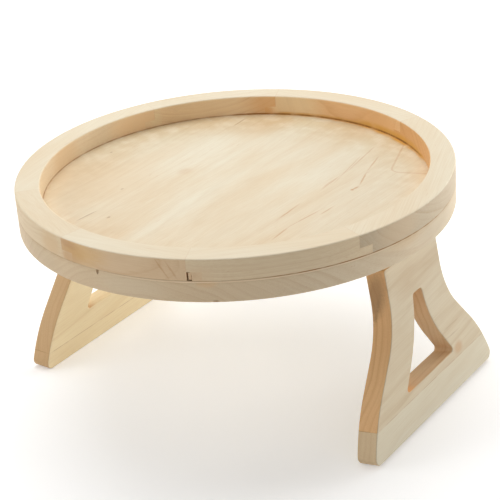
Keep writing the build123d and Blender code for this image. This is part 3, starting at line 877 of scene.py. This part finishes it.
class ARMTRAY_OT_legs(bpy.types.Operator):
    """Saw out each leg, glued from a board and a foot stave."""
    bl_idname = "arm_tray.legs"
    bl_label = "Legs"

    def edges(self, g, front, back):
        """The browned front edge and the paler walls behind it."""
        return g.mix(g.fade(g.parts(g.here)[1], *FRONT_EDGE, 1.0, 0.0), back, front)

    def seam(self, g, wood, down, level):
        """The thin glue line between the board and its foot stave."""
        off = g.math("ABSOLUTE", g.math("SUBTRACT", g.dot(g.here, down), level))
        patchy = g.fade(g.noise(g.placed(g.here, size=(0.012, 0.012, 0.012))), 0.35, 0.6, 0.25, 1.0)
        line = g.math("MULTIPLY", g.fade(off, *STAVE_LINE, 0.5, 0.0), patchy)
        return g.mix(line, wood, bpy.context.scene.arm_tray.pine.glue)

    def half_outline(self, bm, leg):
        """Outline of one half of a leg with its half of the hole, hinge pin at the origin."""
        top, foot, r = -leg.top_gap, -leg.length, leg.shoulder_radius
        pen = Pen(bm, 0, top)
        pen.line(leg.top_half_width - r, top)
        pen.arc((leg.top_half_width - r, top - r), -pi / 2, 6)
        pen.line(leg.top_half_width, -leg.neck_length)
        r = leg.toe_radius
        waist = (leg.top_half_width + leg.waist_radius, -leg.neck_length)
        pen.arc(waist, leg.flank_angle, 18)
        slope = (sin(leg.flank_angle), cos(leg.flank_angle))
        y = pen.tip.co.y + leg.flank_length * slope[0]
        z = pen.tip.co.z - leg.flank_length * slope[1]
        pen.line(y, z)
        flare = (y - leg.flare_radius * slope[1], z - leg.flare_radius * slope[0])
        toe_turn = asin((foot + r - flare[1]) / (leg.flare_radius - r))
        pen.arc(flare, toe_turn - leg.flank_angle, 20)
        toe = (flare[0] + (leg.flare_radius - r) * cos(toe_turn), foot + r)
        pen.arc(toe, -pi / 2 - toe_turn, 8)
        pen.line(0, foot)

        r = leg.hole_corner
        sill = -(leg.length - leg.rail_height)
        bend = leg.hole_top + (-sill - leg.hole_top) * leg.hole_bend_share
        radius = leg.waist_radius + leg.top_half_width - leg.hole_neck_half
        bend_turn = asin((bend - leg.neck_length) / radius)
        side = (waist[0] - radius * cos(bend_turn), waist[1] - radius * sin(bend_turn))
        corner = side[0] + (side[1] - sill) * tan(bend_turn)
        back = r / tan((pi / 2 - bend_turn) / 2)
        pen.line(0, sill)
        pen.line(corner - back, sill)
        pen.arc((corner - back, sill + r), pi / 2 + bend_turn, 8)
        pen.line(*side)
        head_turn = asin((leg.hole_top + r - leg.neck_length) / (radius + r))
        pen.arc(waist, head_turn - bend_turn, 12)
        head = (waist[0] - (radius + r) * cos(head_turn), -leg.hole_top - r)
        pen.arc(head, pi / 2 - head_turn, 6)
        pen.line(0, -leg.hole_top)
        pen.line(0, top)

    def blank(self, leg):
        """A whole leg with rounded edges, hanging straight down from the pin."""
        bm = bmesh.new()
        self.half_outline(bm, leg)
        bmesh.ops.remove_doubles(bm, verts=bm.verts, dist=SAME)
        face = bmesh.ops.contextual_create(bm, geom=bm.edges[:])["faces"]
        pushed(bm, face, (leg.thickness, 0, 0))
        middle = [face for face in bm.faces if all(abs(vert.co.y) < SAME for vert in face.verts)]
        bmesh.ops.delete(bm, geom=middle, context="FACES")
        bmesh.ops.mirror(bm, geom=everything(bm), matrix=Matrix.Identity(4), merge_dist=ALIKE, axis="Y")
        closed(bm)
        bmesh.ops.translate(bm, verts=bm.verts, vec=(-leg.pin_inset, 0, 0))
        long_edges = [edge for edge in bm.edges if edge.calc_face_angle() > EDGE_TURN
                      and abs(edge.verts[0].co.x - edge.verts[1].co.x) < SAME]
        rounded(bm, long_edges, leg.edge, segments=3)
        return bm

    def parted(self, whole, level, keep_low):
        """The part of a leg on one side of its glue line."""
        bm = whole.copy()
        bmesh.ops.bisect_plane(bm, geom=everything(bm), dist=SAME, plane_co=(0, 0, level),
                               plane_no=(0, 0, 1), clear_outer=keep_low, clear_inner=not keep_low)
        closed(bm)
        return bm

    def execute(self, context):
        tray = context.scene.arm_tray
        leg, look = tray.leg, tray.pine
        whole = self.blank(leg)
        for side, way, splay, _, place in sides(leg):
            level = getattr(leg, f"{side}_stave") - leg.length
            down = Vector((way * sin(splay), 0, -cos(splay)))
            joint = down.dot(place @ Vector((0, 0, level)))
            for node, keep_low in (("leg_board", False), ("foot_stave", True)):
                tint, pith, strength, seed, front, back, marks = LEG_LOOKS[f"{side}_{node}"]
                tint, front, back = (getattr(look, stain) for stain in (tint, front, back))
                bm = self.parted(whole, level, keep_low)
                bmesh.ops.transform(bm, matrix=place, verts=bm.verts)
                bmesh.ops.recalc_face_normals(bm, faces=bm.faces)
                core = (place @ (Vector(pith) * MM)) / MM
                wood = pine(f"{side.title()} {node.replace('_', ' ')} pine", tint, tint, core,
                            (radians(3), -way * splay, 0), spacing=4.4, strength=strength, seed=seed,
                            marks=marks, face=(cos(splay), 0, way * sin(splay)),
                            wall=lambda g: self.edges(g, front, back),
                            extra=lambda g, wood: self.seam(g, wood, down, joint))
                new_piece(f"{side.title()}_{node}", bm, wood, f"{side}_leg", [f"{side}_{node}"])
        whole.free()
        return {"FINISHED"}


class ARMTRAY_OT_hinges(bpy.types.Operator):
    """Plate the hinge leaves and pins."""
    bl_idname = "arm_tray.hinges"
    bl_label = "Hinges"

    def execute(self, context):
        steel = context.scene.arm_tray.steel
        leaves = plated("Zinc plated sheet", steel.zinc, roughness=0.55)
        pins = plated("Zinc plated wire", steel.pin, roughness=0.30)
        for side in ("left", "right"):
            for node, metal in (("tray_leaf", leaves), ("leg_leaf", leaves), ("hinge_pin", pins)):
                mesh = frame["nodes"][f"{side}_{node}"].data
                mesh.materials.clear()
                mesh.materials.append(metal)
        return {"FINISHED"}


# Facets round a spring's wire, in one of its turns and in the bend at its end
WIRE_SIDES, TURN_FACETS, BEND_FACETS = 12, 24, 5


class ARMTRAY_OT_springs(bpy.types.Operator):
    """Wind the torsion spring of each leg."""
    bl_idname = "arm_tray.springs"
    bl_label = "Springs"

    def execute(self, context):
        tray = context.scene.arm_tray
        hinge = tray.hinge
        turns, radius, circle = hinge.coil_turns, hinge.coil_radius, 2 * pi * hinge.coil_radius
        room = 2 * hinge.half_length - 4 * hinge.knuckle - 2 * (hinge.knuckle_gap + hinge.seat_gap)
        # The bend and the pitch depend on each other, and settle in a few rounds
        bend = pi / 2
        for _ in range(6):
            pitch = (room - 2 * (2 * hinge.wire_radius + hinge.wire_bend * sin(bend))) / turns
            bend = pi / 2 - atan2(pitch, circle)
        bm = bmesh.new()
        axis = Vector((0, 1, 0))
        heading = Vector((0, pitch, circle)).normalized()
        half = Vector((0, pitch * turns / 2, 0))
        start = Vector((radius, 0, 0)) - half
        place = Matrix.Translation(start) @ heading.to_track_quat("Z", "Y").to_matrix().to_4x4()
        bmesh.ops.create_circle(bm, cap_ends=True, segments=WIRE_SIDES, radius=hinge.wire_radius,
                                matrix=place)
        steps = TURN_FACETS * turns
        spun(bm, bm.faces[:], -2 * pi * turns, steps, axis=axis, rise=(0, pitch * turns / steps, 0))
        across = (axis - heading * axis.dot(heading)).normalized()
        for way in (1, -1):
            end = Vector((radius, 0, 0)) + way * half
            caps = [face for face in bm.faces if len(face.verts) == WIRE_SIDES
                    and (face.calc_center_median() - end).length < MM / 100]
            caps = spun(bm, caps, bend * way, BEND_FACETS, centre=end + across * hinge.wire_bend * way,
                        axis=heading.cross(axis))
            reach = room / 2 - abs(caps[0].calc_center_median().y)
            pushed(bm, caps, axis * reach * way)
        bmesh.ops.translate(bm, verts=bm.verts, vec=PIN)
        bmesh.ops.mirror(bm, geom=everything(bm), matrix=Matrix.Identity(4), merge_dist=0, axis="X")
        closed(bm)
        metal = plated("Spring wire", tray.steel.spring, roughness=0.24, stretch=(0.5, 0.5, 0.5))
        new_piece("Leg_springs", bm, metal, "tray", ["leg_springs"], sharp=60)
        return {"FINISHED"}


# A screw's point, as shares of its radius and length, and its head's side: the width of its foot
# as a share of the radius, then three shares of the height
POINT_WIDTH, POINT_START, POINT_END = 0.7, 0.7, 0.84
HEAD_FOOT, HEAD_FLARE, HEAD_SIDE, HEAD_ROUNDING = 0.97, 0.12, 0.35, 0.5
# Facets of a head's rounded edge, and of a screw all round
ROUND_FACETS, SCREW_FACETS = 5, 24


class ARMTRAY_OT_screws(bpy.types.Operator):
    """Drive the pan head screws through the hinge leaves."""
    bl_idname = "arm_tray.screws"
    bl_label = "Screws"

    def screw(self, hinge):
        """The mesh of one screw pointing down, its head with a cross recess standing on the origin."""
        shank, head, tall = hinge.shank_radius, hinge.head_radius, hinge.head_height
        bm = bmesh.new()
        pen = Pen(bm, 0, -hinge.screw_length)
        for y, z in ((shank * POINT_WIDTH, -hinge.screw_length * POINT_END),
                     (shank, -hinge.screw_length * POINT_START), (shank, 0), (head * HEAD_FOOT, 0),
                     (head, tall * HEAD_FLARE), (head, tall * HEAD_SIDE)):
            pen.line(y, z)
        pen.arc((head - tall * HEAD_ROUNDING, tall * HEAD_SIDE), pi / 2, ROUND_FACETS)
        pen.line(0, tall)
        spin(bm, bm.verts[:] + bm.edges[:], 2 * pi, SCREW_FACETS, merge=True)
        closed(bm)
        tool = bmesh.new()
        for turn in (0, pi / 2):
            arm = (Matrix.Translation((0, 0, tall)) @ Matrix.Rotation(turn, 4, "Z")
                   @ Matrix.Diagonal((hinge.recess_width, hinge.recess_length, hinge.recess_depth * 2, 1)))
            bmesh.ops.create_cube(tool, size=1.0, matrix=arm)
        screw = put("Screw", mesh_of("Screw", bm))
        cut(screw, tool)
        mesh = screw.data
        bpy.data.objects.remove(screw)
        return mesh

    def driven(self, screw, places):
        """A screw at each place."""
        bm = bmesh.new()
        for place in places:
            known = set(bm.verts)
            bm.from_mesh(screw)
            fresh = [vert for vert in bm.verts if vert not in known]
            bmesh.ops.transform(bm, matrix=place, verts=fresh)
        bmesh.ops.recalc_face_normals(bm, faces=bm.faces)
        return bm

    def execute(self, context):
        tray = context.scene.arm_tray
        hinge, leg = tray.hinge, tray.leg
        metal = plated("Screw plating", tray.steel.screw, roughness=0.34, stretch=(0.5, 0.5, 0.5))
        near = hinge.leaf_clearance + hinge.screw_margin
        far = hinge.leaf_clearance + hinge.leaf_depth - hinge.screw_margin
        side_y = hinge.half_length - hinge.screw_margin
        middle = hinge.screw_spacing / 2
        spots = [(far, -side_y), (near, -middle), (near, middle), (far, side_y)]
        level = hinge.drop - hinge.leaf_thickness
        face = -leg.pin_inset - hinge.leaf_thickness
        screw = self.screw(hinge)
        under = []
        for side, _, _, still, swung in sides(leg):
            under += [still @ Matrix.Translation((-reach, y, level)) @ Matrix.Rotation(pi, 4, "X")
                      for reach, y in spots]
            outward = [swung @ Matrix.Translation((face, y, -reach)) @ Matrix.Rotation(-pi / 2, 4, "Y")
                       for reach, y in spots]
            new_piece(f"{side.title()}_leg_screws", self.driven(screw, outward), metal, f"{side}_leg",
                      [f"{side}_leg_screws"], sharp=40)
        new_piece("Tray_leaf_screws", self.driven(screw, under), metal, "tray", ["tray_leaf_screws"],
                  sharp=40)
        bpy.data.meshes.remove(screw)
        return {"FINISHED"}


# Stage

# Each lamp's setting, place, the point it faces, and size
LAMPS = (
    ("top", (-0.35, 0.45, 1.5), (0, 0, 0.15), (1.4, 1.4)),
    ("right", (0.95, 1.65, 0.3), (0, 0, 0.06), (1.2, 0.5)),
    ("left", (-1.3, -1.1, 0.8), (0, 0, 0.1), (1.0, 1.0)),
)
# Half of the floor's width, and its gap under the feet
FLOOR_HALF, FLOOR_GAP = 12.0, 0.0002
# Distances from the middle between which the floor's glow grows, and its strength there
GLOW_FROM, GLOW_TO, GLOW_NEAR, GLOW_FAR = 0.35, 1.3, 0.30, 0.72


class ARMTRAY_OT_stage(bpy.types.Operator):
    """Set the floor, the soft light and the camera."""
    bl_idname = "arm_tray.stage"
    bl_label = "Stage"

    def floor(self, stage):
        """A pale floor, level with both feet, with a glow where it is seen that grows with the distance."""
        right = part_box("right_foot_stave")[0]
        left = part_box("left_foot_stave")[0]
        tilt = atan2(right[2] - left[2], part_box("right_foot_stave")[1][0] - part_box("left_foot_stave")[0][0])
        bm = bmesh.new()
        bmesh.ops.create_grid(bm, x_segments=1, y_segments=1, size=FLOOR_HALF)
        floor = put("Floor", mesh_of("Floor", bm))
        floor.rotation_euler = (0, -tilt, 0)
        floor.location = (0, 0, (left[2] + right[2]) / 2 - FLOOR_GAP)
        g = Finish("Pale floor")
        grain = g.noise(g.placed(g.here, size=(0.4, 0.4, 0.4)))
        tint = g.mix(g.fade(grain, 0.3, 0.7), stage.floor, [part * 0.985 for part in stage.floor])
        matt = g.add("ShaderNodeBsdfDiffuse", {"Color": tint})
        far = g.fade(g.reach(g.here), GLOW_FROM, GLOW_TO, GLOW_NEAR, GLOW_FAR)
        glow = g.add("ShaderNodeEmission", {"Strength": g.math("MULTIPLY", g.seen(), far)})
        both = g.add("ShaderNodeAddShader", {0: matt.outputs[0], 1: glow.outputs[0]})
        floor.data.materials.append(g.done(both))

    def lamp(self, name, watts, place, aim, size):
        """A soft box that faces a point."""
        light = bpy.data.lights.new(name, "AREA")
        light.shape = "RECTANGLE"
        light.size, light.size_y = size
        light.energy = watts
        lamp = put(name, light)
        lamp.location = place
        lamp.rotation_euler = (Vector(place) - Vector(aim)).to_track_quat("Z", "Y").to_euler()
        lamp.visible_camera = False

    def sky(self, strength):
        """Even light all round, seen as white by the camera and in the metal."""
        world = bpy.data.worlds.new("Soft room")
        bpy.context.scene.world = world
        g = Graph(world)
        level = g.fade(g.seen(), 0.0, 1.0, strength, 1.0)
        back = g.add("ShaderNodeBackground", {"Color": (1.0, 1.0, 1.0, 1.0), "Strength": level})
        g.add("ShaderNodeOutputWorld", {"Surface": back.outputs[0]})

    def camera(self, stage):
        """The photograph's point of view."""
        az, el = stage.azimuth, stage.elevation
        back = Vector((sin(az) * cos(el), -cos(az) * cos(el), sin(el)))
        right = Vector((0, 0, 1)).cross(back).normalized()
        up = back.cross(right)
        x = cos(stage.roll) * right + sin(stage.roll) * up
        y = cos(stage.roll) * up - sin(stage.roll) * right
        place = back * stage.distance + x * stage.side_shift - y * stage.drop_shift
        place.z += BOARD_BOTTOM
        data = bpy.data.cameras.new("Camera")
        data.sensor_width = 36.0
        data.lens = stage.focal
        data.clip_end = 50.0
        camera = put("Camera", data)
        turn = Matrix((x, y, back)).transposed().to_4x4()
        camera.matrix_world = Matrix.Translation(place) @ turn
        bpy.context.scene.camera = camera

    def execute(self, context):
        stage = context.scene.arm_tray.stage
        self.floor(stage)
        self.sky(stage.sky)
        for setting, place, aim, size in LAMPS:
            self.lamp(f"{setting.title()} lamp", getattr(stage, setting), place, aim, size)
        self.camera(stage)
        context.scene.view_settings.view_transform = "Standard"
        return {"FINISHED"}


class ARMTRAY_PT_panel(bpy.types.Panel):
    """Lists the pieces of the tray."""
    bl_idname = "ARMTRAY_PT_panel"
    bl_label = "Arm tray"
    bl_space_type = "VIEW_3D"
    bl_region_type = "UI"
    bl_category = "Arm tray"

    def draw(self, context):
        for operator in OPERATORS:
            self.layout.operator(operator.bl_idname)


OPERATORS = [
    ARMTRAY_OT_base_board, ARMTRAY_OT_rim, ARMTRAY_OT_legs, ARMTRAY_OT_hinges, ARMTRAY_OT_springs,
    ARMTRAY_OT_screws, ARMTRAY_OT_stage,
]
GROUPS = [BoardSizes, RimSizes, LegSizes, HingeSizes, PineColours, SteelColours, StageSettings, ArmTray]


def register():
    """Makes the settings, the operators and the panel known to Blender."""
    for item in GROUPS + OPERATORS + [ARMTRAY_PT_panel]:
        bpy.utils.register_class(item)
    bpy.types.Scene.arm_tray = PointerProperty(type=ArmTray)


def unregister():
    """Takes them out again."""
    del bpy.types.Scene.arm_tray
    for item in reversed(GROUPS + OPERATORS + [ARMTRAY_PT_panel]):
        bpy.utils.unregister_class(item)


def main():
    """Builds the whole tray and its stage."""
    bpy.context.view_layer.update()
    register()
    for operator in OPERATORS:
        group, name = operator.bl_idname.split(".")
        getattr(getattr(bpy.ops, group), name)()


if __name__ == "__main__":
    main()
